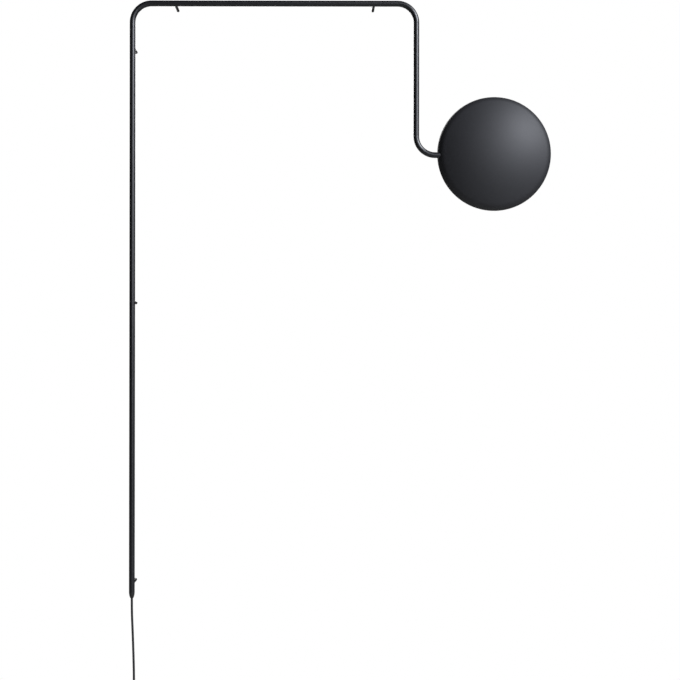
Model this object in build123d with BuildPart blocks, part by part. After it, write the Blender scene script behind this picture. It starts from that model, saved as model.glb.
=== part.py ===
from build123d import *
import os
from math import cos, pi, radians, sin, sqrt, tan

os.makedirs("parts", exist_ok=True)

# All sizes are in millimetres. The wall is the plane y = 0 and the room lies on its -Y side.
# The origin is on the wall, midway between the two rail fixings, at the height of the rail's axis.

# Bent tube
tube_d = 15.0
tube_wall = 1.5
bend_r = 50.0
rail_span = 746.0
upright_h = 1547.0
drop_h = 398.0
wall_gap = 60.0

# Standoffs from the tube to the wall
standoff_d = 8.0
rail_fixing_inset = 112.0
upright_top_fixing = 112.0
upright_mid_fixing = 784.0
low_fixing_above_end = 21.0
drop_fixing = 331.0
stud_bore_d = 4.2
stud_bore_depth = 30.0
spigot_d = 5.0
spigot_past = 1.0
spigot_root = 3.0
saddle_gap = 0.1
grub_from_wall = 8.0

# Grub screws of the standoffs and collars
grub_d = 2.5
grub_socket = 1.3
grub_socket_depth = 0.8
grub_inset = 0.15

# Fits
press_gap = 0.02
slide_gap = 0.05
slip_gap = 0.1
loose_gap = 0.2

# Shade, a shallow dome with a round shoulder and a rolled rim
shade_d = 300.0
shade_depth = 60.0
shoulder_r = 30.0
shade_wall = 1.5
shade_entry = 56.0
shade_above_arm = 5.0
rim_behind_arm = 12.0
rim_bead_d = 4.0
arm_hole_gap = 0.75

# Swivel of the shade on the arm
swivel_room = 1.5
collar_d = 22.0
collar_w = 7.0
wave_washer_t = 1.0
bush_wall = 1.5
bush_flange_d = 22.0
bush_flange_t = 1.5
bush_past = 1.0
bracket_t = 2.0
bracket_len = 34.0
bracket_base_room = 1.5
bracket_leg_margin = 2.5
shade_stud_d = 4.0
shade_stud_span = 40.0
shade_stud_edge = 8.0
stud_nut_flats = 7.0
stud_nut_t = 3.2
stud_past_nut = 1.5

# Lampholder at the end of the arm
arm_past_collar = 18.0
insert_len = 15.0
nipple_d = 10.0
nipple_bore_d = 7.0
nipple_recess = 2.0
nipple_past_nut = 1.0
ring_nut_d = 13.5
ring_nut_t = 3.0
bridge_t = 1.5
holder_w = 26.0
holder_h = 17.0
holder_len = 24.0
holder_corner_r = 5.0
holder_cavity_gap = 0.5
holder_cavity_depth = 9.0
holder_screw_span = 20.0
holder_screw_d = 3.0
holder_screw_grip = 8.0
holder_screw_head_d = 5.0
holder_screw_head_t = 1.8
lamp_pin_span = 9.0
contact_w = 4.8
contact_h = 3.8
contact_len = 13.0
lead_d = 2.0
lead_span = 3.2
lead_bend_r = 3.0

# Capsule bulb
bulb_base_w = 16.0
bulb_base_h = 10.0
bulb_base_len = 12.0
bulb_base_corner_r = 4.0
bulb_pin_w = 3.0
bulb_pin_t = 1.2
bulb_pin_len = 10.0
bulb_pin_root = 3.0
capsule_d = 17.0
capsule_wall = 1.0
capsule_len = 36.0
led_board_w = 10.0
led_board_t = 1.2
led_board_len = 28.0

# Cord and its gland
cord_d = 6.0
gland_spigot_len = 15.0
gland_nose_len = 16.0
gland_tip_d = 8.2
# Points of the hanging cord, sideways of and below its exit from the gland
drop_route = [(0, 0), (0, 36), (1.9, 78), (3.6, 122), (4.9, 164), (5.8, 200), (5.8, 236)]

# In-line switch
switch_w = 28.0
switch_depth = 20.0
switch_len = 60.0
switch_wall = 2.0
switch_corner_r = 7.0
switch_edge_r = 2.5
cord_in_switch = 10.0
terminal_w = 8.0
terminal_len = 8.0
terminal_proud = 1.0
tongue_w = 3.0
tongue_t = 0.6
tongue_gap = 4.0
rocker_w = 11.2
rocker_len = 22.8
rocker_rise = 2.2
rocker_dip = 1.6
rocker_tilt = 8.0
rocker_side_gap = 0.4
rocker_swing_gap = 1.2
rocker_boss_d = 6.0
rocker_under = 1.5
pivot_depth = 5.0
pivot_pin_d = 2.5
ear_t = 1.4
ear_w = 7.0
switch_boss_d = 5.4
switch_screw_d = 2.4
switch_screw_head_d = 4.4
switch_screw_head_t = 1.6
switch_pilot_floor = 2.0
switch_screw_side = 8.4
switch_screw_along = 21.0

# Share of a run that the arc at each of its ends may take
arc_share = 0.45

# Coil of the cord that is put away, in layers that lie behind each other
link_drop = 24.0
coil_outer_r = 38.6
coil_pitch = 6.8
coil_layers = 4
coil_turns = 8.125
coil_start_deg = 135.0
coil_climb_turns = 0.5
coil_look_turns = 0.04
coil_spans = 33
tie_w = 8.0
tie_t = 1.2
tie_gap = 0.6
tail_len = 20.0

# Two-pin plug
relief_top_d = 8.0
relief_foot_d = 11.0
relief_len = 20.0
plug_w = 34.0
plug_t = 13.6
plug_neck_w = 16.0
plug_neck_t = 12.0
plug_taper_len = 26.0
plug_foot_len = 8.0
plug_corner_r = 5.5
plug_pin_d = 4.0
plug_pin_len = 19.0
plug_pin_root = 6.0
plug_pin_span = 18.6

# Places that follow from the sizes
tube_r = tube_d / 2
bore_r = tube_r - tube_wall
left_x = -rail_span / 2
right_x = rail_span / 2
tube_y = -wall_gap
arm_z = -drop_h
cord_r = cord_d / 2
shade_r = shade_d / 2
shade_x = right_x + shade_entry + shade_r
shade_z = arm_z + shade_above_arm
rim_y = tube_y + rim_behind_arm

# The dome's profile is a shallow cap arc that runs tangent into the shoulder arc
shoulder_x = shade_r - shoulder_r
cap_square = shade_r**2 + shade_depth**2 - 2 * shade_r * shoulder_r
cap_r = cap_square / (2 * (shade_depth - shoulder_r))
cap_y = cap_r - shade_depth
meet_cos = shoulder_x / (cap_r - shoulder_r)
meet_sin = cap_y / (cap_r - shoulder_r)


def dome_points(inset):
    # Apex, meeting point of the two arcs and rim of the profile, inset from the outside
    meet = ((cap_r - inset) * meet_cos, cap_y - (cap_r - inset) * meet_sin)
    return (0, inset - shade_depth), meet, (shade_r - inset, 0)


def dome_inner_r(ahead):
    # Radius of the dome's inside at a distance ahead of the rim
    if ahead < -dome_points(shade_wall)[1][1]:
        return shoulder_x + sqrt((shoulder_r - shade_wall) ** 2 - ahead**2)
    return sqrt((cap_r - shade_wall) ** 2 - (cap_y + ahead) ** 2)


collar_outer_x = shade_x - dome_inner_r(rim_behind_arm + collar_d / 2) + swivel_room
washer_x = collar_outer_x + collar_w + slip_gap
bush_outer_x = washer_x + wave_washer_t + slip_gap
bracket_x = bush_outer_x + bush_flange_t
bush_inner_x = bracket_x + bracket_len
collar_inner_x = bush_inner_x + bush_flange_t + slip_gap
arm_end_x = collar_inner_x + collar_w + arm_past_collar

nipple_x = arm_end_x - insert_len + nipple_recess
cord_end_x = arm_end_x - insert_len - slip_gap
bridge_x = arm_end_x + ring_nut_t
holder_x = bridge_x + bridge_t
holder_front_x = holder_x + holder_len
contact_x = holder_front_x - contact_len
capsule_x = holder_front_x + bulb_base_len


def arm_section(x):
    # Section square to the arm, with local x towards the wall and local y up
    return Plane(origin=(x, tube_y, arm_z), x_dir=(0, 1, 0), z_dir=(1, 0, 0))


# Bent tube, open at both ends, with a hole in its back wall for each standoff
standoffs = {
    "standoff_rail_left": ((left_x + rail_fixing_inset, 0), (1, 0, 0)),
    "standoff_rail_right": ((right_x - rail_fixing_inset, 0), (1, 0, 0)),
    "standoff_upright_top": ((left_x, -upright_top_fixing), (0, 0, 1)),
    "standoff_upright_middle": ((left_x, -upright_mid_fixing), (0, 0, 1)),
    "standoff_upright_bottom": ((left_x, low_fixing_above_end - upright_h), (0, 0, 1)),
    "standoff_drop_arm": ((right_x, -drop_fixing), (0, 0, 1)),
}
fixing_spots = [spot for spot, run in standoffs.values()]
tube_corners = [(left_x, tube_y, 0), (right_x, tube_y, 0), (right_x, tube_y, arm_z)]
with BuildPart() as rail_tube:
    with BuildLine():
        FilletPolyline(
            (left_x, tube_y, -upright_h),
            *tube_corners,
            (arm_end_x, tube_y, arm_z),
            radius=bend_r,
        )
    with BuildSketch(Plane.XY.offset(-upright_h)):
        with Locations((left_x, tube_y)):
            Circle(tube_r)
            Circle(bore_r, mode=Mode.SUBTRACT)
    sweep()
    with BuildSketch(Plane.XZ.offset(wall_gap - bore_r / 2)):
        with Locations(*fixing_spots):
            Circle(spigot_d / 2 + slide_gap)
    extrude(amount=-tube_r, mode=Mode.SUBTRACT)
rail_tube.part.label = "rail_tube"
export_step(rail_tube.part, "parts/rail_tube.step")

# Six standoffs: a saddle against the tube, a spigot into its back wall, and a blind bore for a wall stud
standoff_r = standoff_d / 2
for node, ((x, z), run) in standoffs.items():
    with BuildPart() as standoff:
        with BuildSketch(Plane.XZ):
            with Locations((x, z)):
                Circle(standoff_r)
        extrude(amount=wall_gap)
        with BuildSketch(Plane(origin=(x, tube_y, z), z_dir=run)):
            Circle(tube_r + saddle_gap)
        extrude(amount=standoff_d, both=True, mode=Mode.SUBTRACT)
        with BuildSketch(Plane.XZ.offset(wall_gap - tube_r - spigot_root)):
            with Locations((x, z)):
                Circle(spigot_d / 2)
        extrude(amount=spigot_root + tube_wall + spigot_past)
        with BuildSketch(Plane.XZ):
            with Locations((x, z)):
                Circle(stud_bore_d / 2)
        extrude(amount=stud_bore_depth, mode=Mode.SUBTRACT)
        with BuildSketch(Plane.XY.offset(z)):
            with Locations((x, -grub_from_wall)):
                Circle(grub_d / 2 + press_gap)
        extrude(amount=-standoff_d, mode=Mode.SUBTRACT)
    standoff.part.label = node
    export_step(standoff.part, f"parts/{node}.step")

# Grub screws from below, each within its standoff's wall
with BuildPart() as standoff_grub_screws:
    for x, z in fixing_spots:
        with BuildSketch(Plane.XY.offset(z - standoff_r + grub_inset)):
            with Locations((x, -grub_from_wall)):
                Circle(grub_d / 2)
        extrude(amount=standoff_r - stud_bore_d / 2 - 2 * grub_inset)
        with BuildSketch(Plane.XY.offset(z - standoff_r + grub_inset)):
            with Locations((x, -grub_from_wall)):
                RegularPolygon(grub_socket / 2, 6, major_radius=False)
        extrude(amount=grub_socket_depth, mode=Mode.SUBTRACT)
standoff_grub_screws.part.label = "standoff_grub_screws"
export_step(standoff_grub_screws.part, "parts/standoff_grub_screws.step")

# Gland: a spigot in the foot of the upright and a rounded nose that the cord leaves
gland_plane = Plane(origin=(left_x, tube_y, -upright_h), x_dir=(1, 0, 0), z_dir=(0, -1, 0))
gland_bore_r = cord_r + slip_gap
with BuildPart() as cord_gland:
    with BuildSketch(gland_plane):
        with BuildLine():
            Polyline(
                (gland_bore_r, -gland_nose_len),
                (gland_bore_r, gland_spigot_len),
                (bore_r - slide_gap, gland_spigot_len),
                (bore_r - slide_gap, 0),
                (tube_r, 0),
            )
            TangentArc((tube_r, 0), (gland_tip_d / 2, -gland_nose_len), tangent=(0, -1))
            Line((gland_tip_d / 2, -gland_nose_len), (gland_bore_r, -gland_nose_len))
        make_face()
    revolve(axis=Axis((left_x, tube_y, 0), (0, 0, 1)))
cord_gland.part.label = "cord_gland"
export_step(cord_gland.part, "parts/cord_gland.step")

# Cable along the whole bore of the tube, from the gland's tip to the end of the arm
cord_exit_z = -upright_h - gland_nose_len
with BuildPart() as cord_in_tube:
    with BuildLine():
        FilletPolyline(
            (left_x, tube_y, cord_exit_z),
            *tube_corners,
            (cord_end_x, tube_y, arm_z),
            radius=bend_r,
        )
    with BuildSketch(Plane.XY.offset(cord_exit_z)):
        with Locations((left_x, tube_y)):
            Circle(cord_r)
    sweep()
cord_in_tube.part.label = "cord_in_tube"
export_step(cord_in_tube.part, "parts/cord_in_tube.step")

# Threaded insert in the end of the tube
with BuildPart() as tube_insert:
    with BuildSketch(arm_section(arm_end_x - insert_len)):
        Circle(bore_r - press_gap)
        Circle(nipple_d / 2 + press_gap, mode=Mode.SUBTRACT)
    extrude(amount=insert_len)
tube_insert.part.label = "tube_insert"
export_step(tube_insert.part, "parts/tube_insert.step")

# Hollow nipple that carries the lampholder, with a ring nut on each side of the bridge
with BuildPart() as thread_nipple:
    with BuildSketch(arm_section(nipple_x)):
        Circle(nipple_d / 2)
        Circle(nipple_bore_d / 2, mode=Mode.SUBTRACT)
    extrude(amount=holder_x + ring_nut_t + nipple_past_nut - nipple_x)
thread_nipple.part.label = "thread_nipple"
export_step(thread_nipple.part, "parts/thread_nipple.step")

with BuildPart() as ring_nuts:
    for x in (arm_end_x, holder_x):
        with BuildSketch(arm_section(x)):
            Circle(ring_nut_d / 2)
            Circle(nipple_d / 2 + press_gap, mode=Mode.SUBTRACT)
        extrude(amount=ring_nut_t)
ring_nuts.part.label = "ring_nuts"
export_step(ring_nuts.part, "parts/ring_nuts.step")

# Bridge plate between the nipple and the lampholder
holder_screw_spots = [(0, holder_screw_span / 2), (0, -holder_screw_span / 2)]
with BuildPart() as holder_bridge:
    with BuildSketch(arm_section(bridge_x)):
        RectangleRounded(holder_h, holder_w, holder_corner_r)
        Circle(nipple_d / 2 + slip_gap, mode=Mode.SUBTRACT)
        with Locations(*holder_screw_spots):
            Circle(holder_screw_d / 2 + slip_gap, mode=Mode.SUBTRACT)
    extrude(amount=bridge_t)
holder_bridge.part.label = "holder_bridge"
export_step(holder_bridge.part, "parts/holder_bridge.step")

# Ceramic lampholder: a cavity behind for the nut, two pockets in front, and a hole for each lead
lamp_pin_spots = [(0, lamp_pin_span / 2), (0, -lamp_pin_span / 2)]
with BuildPart() as lamp_holder:
    with BuildSketch(arm_section(holder_x)):
        RectangleRounded(holder_h, holder_w, holder_corner_r)
        with Locations(*lamp_pin_spots):
            Circle(lead_d / 2 + loose_gap, mode=Mode.SUBTRACT)
    extrude(amount=holder_len)
    with BuildSketch(arm_section(holder_x)):
        Circle(ring_nut_d / 2 + holder_cavity_gap)
    extrude(amount=holder_cavity_depth, mode=Mode.SUBTRACT)
    with BuildSketch(arm_section(contact_x)):
        with Locations(*lamp_pin_spots):
            Rectangle(contact_h + 2 * slip_gap, contact_w + 2 * slip_gap)
    extrude(amount=contact_len, mode=Mode.SUBTRACT)
    with BuildSketch(arm_section(holder_x)):
        with Locations(*holder_screw_spots):
            Circle(holder_screw_d / 2 + press_gap)
    extrude(amount=holder_screw_grip, mode=Mode.SUBTRACT)
lamp_holder.part.label = "lamp_holder"
export_step(lamp_holder.part, "parts/lamp_holder.step")

with BuildPart() as holder_screws:
    with BuildSketch(arm_section(bridge_x)):
        with Locations(*holder_screw_spots):
            Circle(holder_screw_d / 2)
    extrude(amount=bridge_t + holder_screw_grip - slip_gap)
    with BuildSketch(arm_section(bridge_x)):
        with Locations(*holder_screw_spots):
            Circle(holder_screw_head_d / 2)
    extrude(amount=-holder_screw_head_t)
holder_screws.part.label = "holder_screws"
export_step(holder_screws.part, "parts/holder_screws.step")

# Spring contacts in the pockets, each slotted for one pin of the bulb
with BuildPart() as holder_contacts:
    with BuildSketch(arm_section(contact_x)):
        with Locations(*lamp_pin_spots):
            Rectangle(contact_h, contact_w)
    extrude(amount=contact_len)
    with BuildSketch(arm_section(holder_front_x)):
        with Locations(*lamp_pin_spots):
            Rectangle(bulb_pin_t + 2 * slip_gap, bulb_pin_w + 2 * slip_gap)
    extrude(amount=-bulb_pin_len - slip_gap, mode=Mode.SUBTRACT)
holder_contacts.part.label = "holder_contacts"
export_step(holder_contacts.part, "parts/holder_contacts.step")

# Two cores from the cable's end through the nipple, spreading in the cavity to the contacts
lead_turn_x = holder_x + ring_nut_t + nipple_past_nut
lead_spread_x = holder_x + holder_cavity_depth
with BuildPart() as lead_wires:
    for side in (1, -1):
        inner_z = arm_z + side * lead_span / 2
        outer_z = arm_z + side * lamp_pin_span / 2
        with BuildLine():
            FilletPolyline(
                (cord_end_x, tube_y, inner_z),
                (lead_turn_x, tube_y, inner_z),
                (lead_spread_x, tube_y, outer_z),
                (contact_x, tube_y, outer_z),
                radius=lead_bend_r,
            )
        with BuildSketch(arm_section(cord_end_x)):
            with Locations((0, side * lead_span / 2)):
                Circle(lead_d / 2)
        sweep()
lead_wires.part.label = "lead_wires"
export_step(lead_wires.part, "parts/lead_wires.step")

# Capsule bulb: a base block with two flat pins, a white board of light sources and an opal cover
with BuildPart() as bulb_base:
    with BuildSketch(arm_section(holder_front_x)):
        RectangleRounded(bulb_base_h, bulb_base_w, bulb_base_corner_r)
    extrude(amount=bulb_base_len)
    with BuildSketch(arm_section(holder_front_x)):
        with Locations(*lamp_pin_spots):
            Rectangle(bulb_pin_t + 2 * press_gap, bulb_pin_w + 2 * press_gap)
    extrude(amount=bulb_pin_root, mode=Mode.SUBTRACT)
bulb_base.part.label = "bulb_base"
export_step(bulb_base.part, "parts/bulb_base.step")

with BuildPart() as bulb_pins:
    with BuildSketch(arm_section(holder_front_x - bulb_pin_len)):
        with Locations(*lamp_pin_spots):
            Rectangle(bulb_pin_t, bulb_pin_w)
    extrude(amount=bulb_pin_len + bulb_pin_root)
bulb_pins.part.label = "bulb_pins"
export_step(bulb_pins.part, "parts/bulb_pins.step")

with BuildPart() as led_board:
    with BuildSketch(arm_section(capsule_x)):
        Rectangle(led_board_t, led_board_w)
    extrude(amount=led_board_len)
led_board.part.label = "led_board"
export_step(led_board.part, "parts/led_board.step")

capsule_r = capsule_d / 2
capsule_straight = capsule_len - capsule_r
capsule_plane = Plane(origin=(capsule_x, tube_y, arm_z), x_dir=(1, 0, 0), z_dir=(0, -1, 0))
with BuildPart() as bulb_capsule:
    with BuildSketch(capsule_plane):
        with BuildLine():
            Line((0, capsule_r - capsule_wall), (0, capsule_r))
            Line((0, capsule_r), (capsule_straight, capsule_r))
            TangentArc((capsule_straight, capsule_r), (capsule_len, 0), tangent=(1, 0))
            Line((capsule_len, 0), (capsule_len - capsule_wall, 0))
            TangentArc(
                (capsule_len - capsule_wall, 0),
                (capsule_straight, capsule_r - capsule_wall),
                tangent=(0, 1),
            )
            Line((capsule_straight, capsule_r - capsule_wall), (0, capsule_r - capsule_wall))
        make_face()
    revolve(axis=Axis((0, tube_y, arm_z), (1, 0, 0)))
bulb_capsule.part.label = "bulb_capsule"
export_step(bulb_capsule.part, "parts/bulb_capsule.step")

# Collars on the arm at each end of the swivel, with their grub screws on the wall side
collar_r = collar_d / 2
collar_spots = {"collar_outer": collar_outer_x, "collar_inner": collar_inner_x}
for node, x in collar_spots.items():
    with BuildPart() as collar:
        with BuildSketch(arm_section(x)):
            Circle(collar_r)
            Circle(tube_r + press_gap, mode=Mode.SUBTRACT)
        extrude(amount=collar_w)
        with BuildSketch(Plane.XZ.offset(wall_gap)):
            with Locations((x + collar_w / 2, arm_z)):
                Circle(grub_d / 2 + press_gap)
        extrude(amount=-collar_d, mode=Mode.SUBTRACT)
    collar.part.label = node
    export_step(collar.part, f"parts/{node}.step")

with BuildPart() as collar_grub_screws:
    for x in collar_spots.values():
        with BuildSketch(Plane.XZ.offset(wall_gap - collar_r + grub_inset)):
            with Locations((x + collar_w / 2, arm_z)):
                Circle(grub_d / 2)
        extrude(amount=collar_r - tube_r - 2 * grub_inset)
        with BuildSketch(Plane.XZ.offset(wall_gap - collar_r + grub_inset)):
            with Locations((x + collar_w / 2, arm_z)):
                RegularPolygon(grub_socket / 2, 6, major_radius=False)
        extrude(amount=grub_socket_depth, mode=Mode.SUBTRACT)
collar_grub_screws.part.label = "collar_grub_screws"
export_step(collar_grub_screws.part, "parts/collar_grub_screws.step")

# Spring washer that gives the swivel its friction
with BuildPart() as wave_washer:
    with BuildSketch(arm_section(washer_x)):
        Circle(bush_flange_d / 2)
        Circle(tube_r + loose_gap, mode=Mode.SUBTRACT)
    extrude(amount=wave_washer_t)
wave_washer.part.label = "wave_washer"
export_step(wave_washer.part, "parts/wave_washer.step")

# Nylon bushes that run on the arm, each with a flange outside its bracket leg
bush_r = tube_r + bush_wall
bush_ends = {"bush_outer": (bush_outer_x, 1), "bush_inner": (bush_inner_x + bush_flange_t, -1)}
for node, (x, way) in bush_ends.items():
    with BuildPart() as bush:
        with BuildSketch(arm_section(x)):
            Circle(bush_flange_d / 2)
        extrude(amount=way * bush_flange_t)
        with BuildSketch(arm_section(x)):
            Circle(bush_r)
        extrude(amount=way * (bush_flange_t + bracket_t + bush_past))
        with BuildSketch(arm_section(x)):
            Circle(tube_r + slide_gap)
        extrude(amount=way * (bush_flange_t + bracket_t + bush_past), mode=Mode.SUBTRACT)
    bush.part.label = node
    export_step(bush.part, f"parts/{node}.step")

# Bracket: a base plate in front of the arm and two legs that hold the bushes
base_back = max(collar_d, bush_flange_d) / 2 + bracket_base_room
leg_r = bush_r + bracket_leg_margin
stud_x = bracket_x + bracket_len / 2
stud_spots = [(stud_x, arm_z + shade_stud_span / 2), (stud_x, arm_z - shade_stud_span / 2)]
with BuildPart() as shade_bracket:
    with BuildSketch(Plane.XZ.offset(wall_gap + base_back)):
        with Locations((stud_x, arm_z)):
            RectangleRounded(bracket_len, shade_stud_span + 2 * shade_stud_edge, bracket_t)
        with Locations(*stud_spots):
            Circle(shade_stud_d / 2 + slip_gap, mode=Mode.SUBTRACT)
    extrude(amount=bracket_t)
    for x in (bracket_x, bracket_x + bracket_len - bracket_t):
        with BuildSketch(arm_section(x)):
            Circle(leg_r)
            with Locations((-base_back / 2, 0)):
                Rectangle(base_back, 2 * leg_r)
            Circle(bush_r + press_gap, mode=Mode.SUBTRACT)
        extrude(amount=bracket_t)
shade_bracket.part.label = "shade_bracket"
export_step(shade_bracket.part, "parts/shade_bracket.step")

# Domed shade: a thin shell whose rim is rolled inwards, with a hole in its side for the arm
shade_plane = Plane(origin=(shade_x, rim_y, shade_z), x_dir=(1, 0, 0), z_dir=(0, 0, 1))
shade_axis = Axis((shade_x, rim_y, shade_z), (0, 1, 0))
rim_bead_r = rim_bead_d / 2
apex, meet, rim = dome_points(0)
inner_apex, inner_meet, inner_rim = dome_points(shade_wall)
with BuildPart() as shade_dome:
    with BuildSketch(shade_plane):
        with BuildLine():
            TangentArc(apex, meet, tangent=(1, 0))
            TangentArc(meet, rim, tangent=(meet_sin, meet_cos))
            Line(rim, inner_rim)
            TangentArc(inner_rim, inner_meet, tangent=(0, -1))
            TangentArc(inner_meet, inner_apex, tangent=(-meet_sin, -meet_cos))
            Line(inner_apex, apex)
        make_face()
        with Locations((shade_r - rim_bead_r - shade_wall / 2, -rim_bead_r)):
            Circle(rim_bead_r)
    revolve(axis=shade_axis)
    with BuildSketch(arm_section(shade_x - shade_r)):
        Circle(tube_r + arm_hole_gap)
    extrude(amount=shoulder_r, mode=Mode.SUBTRACT)
shade_dome.part.label = "shade_dome"
export_step(shade_dome.part, "parts/shade_dome.step")

# Space inside the dome, which the weld studs are trimmed to
with BuildPart() as dome_space:
    with BuildSketch(shade_plane):
        with BuildLine():
            TangentArc(inner_rim, inner_meet, tangent=(0, -1))
            TangentArc(inner_meet, inner_apex, tangent=(-meet_sin, -meet_cos))
            Polyline(inner_apex, (0, 0), inner_rim)
        make_face()
    revolve(axis=shade_axis)

with BuildPart() as shade_studs:
    with BuildSketch(Plane.XZ.offset(wall_gap + base_back - stud_nut_t - stud_past_nut)):
        with Locations(*stud_spots):
            Circle(shade_stud_d / 2)
    extrude(amount=shade_depth)
    add(dome_space.part, mode=Mode.INTERSECT)
shade_studs.part.label = "shade_studs"
export_step(shade_studs.part, "parts/shade_studs.step")

# A nut on each side of the base plate on each stud
with BuildPart() as stud_nuts:
    for back in (base_back - stud_nut_t, base_back + bracket_t):
        with BuildSketch(Plane.XZ.offset(wall_gap + back)):
            with Locations(*stud_spots):
                RegularPolygon(stud_nut_flats / 2, 6, major_radius=False)
                Circle(shade_stud_d / 2 + press_gap, mode=Mode.SUBTRACT)
        extrude(amount=stud_nut_t)
stud_nuts.part.label = "stud_nuts"
export_step(stud_nuts.part, "parts/stud_nuts.step")


def route_radii(points):
    # One radius for each corner, as large as the shorter run beside it allows
    runs = [after - before for before, after in zip(points, points[1:])]
    radii = []
    for before, after in zip(runs, runs[1:]):
        half_turn = radians(before.get_angle(after)) / 2
        radii.append(arc_share * min(before.length, after.length) / tan(half_turn))
    return radii


# Hanging cord from the gland into the switch
drop_points = [Vector(left_x + aside, tube_y, cord_exit_z - below) for aside, below in drop_route]
drop_radii = route_radii(drop_points)
print("drop radii", [round(radius) for radius in drop_radii])
with BuildPart() as cord_drop:
    with BuildLine() as drop_path:
        FilletPolyline(*drop_points, radius=drop_radii)
    with BuildSketch(Plane(origin=drop_points[0], z_dir=(0, 0, -1))):
        Circle(cord_r)
    sweep()
cord_drop.part.label = "cord_drop"
export_step(cord_drop.part, "parts/cord_drop.step")

# In-line switch: two shells that meet on the cord's axis
switch_x = drop_points[-1].X
switch_top_z = drop_points[-1].Z + cord_in_switch
switch_bottom_z = switch_top_z - switch_len
switch_z = switch_top_z - switch_len / 2
half_depth = switch_depth / 2
shell_depth = half_depth - switch_wall
pivot_y = tube_y - half_depth + pivot_depth
window_half = rocker_w / 2 + rocker_side_gap
switch_screw_spots = [
    (switch_x - switch_screw_side, switch_z + switch_screw_along),
    (switch_x + switch_screw_side, switch_z - switch_screw_along),
]
split_plane = Plane.XZ.offset(wall_gap)
with BuildPart() as switch_front:
    with BuildSketch(split_plane):
        with Locations((switch_x, switch_z)):
            RectangleRounded(switch_w, switch_len, switch_corner_r)
    extrude(amount=half_depth)
    fillet(switch_front.faces().sort_by(Axis.Y)[0].edges(), switch_edge_r)
    with BuildSketch(split_plane):
        with Locations((switch_x, switch_z)):
            RectangleRounded(
                switch_w - 2 * switch_wall,
                switch_len - 2 * switch_wall,
                switch_corner_r - switch_wall,
            )
        with Locations(*switch_screw_spots):
            Circle(switch_boss_d / 2, mode=Mode.SUBTRACT)
    extrude(amount=shell_depth, mode=Mode.SUBTRACT)
    for x in (switch_x - window_half - ear_t, switch_x + window_half):
        with BuildSketch(Plane.YZ.offset(x)):
            with Locations((pivot_y - (pivot_depth - switch_wall) / 2, switch_z)):
                Rectangle(pivot_depth - switch_wall, ear_w)
            with Locations((pivot_y, switch_z)):
                Circle(ear_w / 2)
                Circle(pivot_pin_d / 2 + press_gap, mode=Mode.SUBTRACT)
        extrude(amount=ear_t)
    with BuildSketch(split_plane.offset(shell_depth)):
        with Locations((switch_x, switch_z)):
            Rectangle(2 * window_half, rocker_len + 2 * rocker_swing_gap)
    extrude(amount=switch_wall, mode=Mode.SUBTRACT)
    with BuildSketch(split_plane):
        with Locations(*switch_screw_spots):
            Circle(switch_screw_d / 2 + press_gap)
    extrude(amount=shell_depth - switch_pilot_floor, mode=Mode.SUBTRACT)
    with BuildSketch(Plane.XY.offset(switch_bottom_z)):
        with Locations((switch_x, tube_y)):
            Circle(cord_r + slip_gap)
    extrude(amount=switch_len, mode=Mode.SUBTRACT)
switch_front.part.label = "switch_front"
export_step(switch_front.part, "parts/switch_front.step")

with BuildPart() as switch_back:
    with BuildSketch(split_plane):
        with Locations((switch_x, switch_z)):
            RectangleRounded(switch_w, switch_len, switch_corner_r)
    extrude(amount=-half_depth)
    fillet(switch_back.faces().sort_by(Axis.Y)[-1].edges(), switch_edge_r)
    with BuildSketch(split_plane):
        with Locations((switch_x, switch_z)):
            RectangleRounded(
                switch_w - 2 * switch_wall,
                switch_len - 2 * switch_wall,
                switch_corner_r - switch_wall,
            )
        with Locations(*switch_screw_spots):
            Circle(switch_boss_d / 2, mode=Mode.SUBTRACT)
    extrude(amount=-shell_depth, mode=Mode.SUBTRACT)
    with BuildSketch(split_plane):
        with Locations(*switch_screw_spots):
            Circle(switch_screw_d / 2 + slip_gap)
    extrude(amount=-half_depth, mode=Mode.SUBTRACT)
    with BuildSketch(split_plane.offset(-half_depth)):
        with Locations(*switch_screw_spots):
            Circle(switch_screw_head_d / 2 + slip_gap)
    extrude(amount=switch_screw_head_t, mode=Mode.SUBTRACT)
    with BuildSketch(Plane.XY.offset(switch_bottom_z)):
        with Locations((switch_x, tube_y)):
            Circle(cord_r + slip_gap)
    extrude(amount=switch_len, mode=Mode.SUBTRACT)
switch_back.part.label = "switch_back"
export_step(switch_back.part, "parts/switch_back.step")

with BuildPart() as switch_screws:
    with BuildSketch(split_plane.offset(-half_depth)):
        with Locations(*switch_screw_spots):
            Circle(switch_screw_head_d / 2)
    extrude(amount=switch_screw_head_t)
    with BuildSketch(split_plane.offset(-half_depth)):
        with Locations(*switch_screw_spots):
            Circle(switch_screw_d / 2)
    extrude(amount=half_depth + shell_depth - switch_pilot_floor - slip_gap)
switch_screws.part.label = "switch_screws"
export_step(switch_screws.part, "parts/switch_screws.step")

# Brass terminals on the back shell, each with a tongue towards the middle
tongue_len = switch_len / 2 - cord_in_switch - terminal_len - tongue_gap / 2
with BuildPart() as switch_terminals:
    for way in (1, -1):
        block_z = switch_z + way * (switch_len / 2 - cord_in_switch - terminal_len / 2)
        tongue_z = switch_z + way * (tongue_gap + tongue_len) / 2
        with BuildSketch(split_plane.offset(-shell_depth)):
            with Locations((switch_x, block_z)):
                Rectangle(terminal_w, terminal_len)
        extrude(amount=shell_depth + terminal_proud)
        with BuildSketch(split_plane.offset(-shell_depth)):
            with Locations((switch_x, tongue_z)):
                Rectangle(tongue_w, tongue_len)
        extrude(amount=tongue_t)
switch_terminals.part.label = "switch_terminals"
export_step(switch_terminals.part, "parts/switch_terminals.step")

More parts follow.
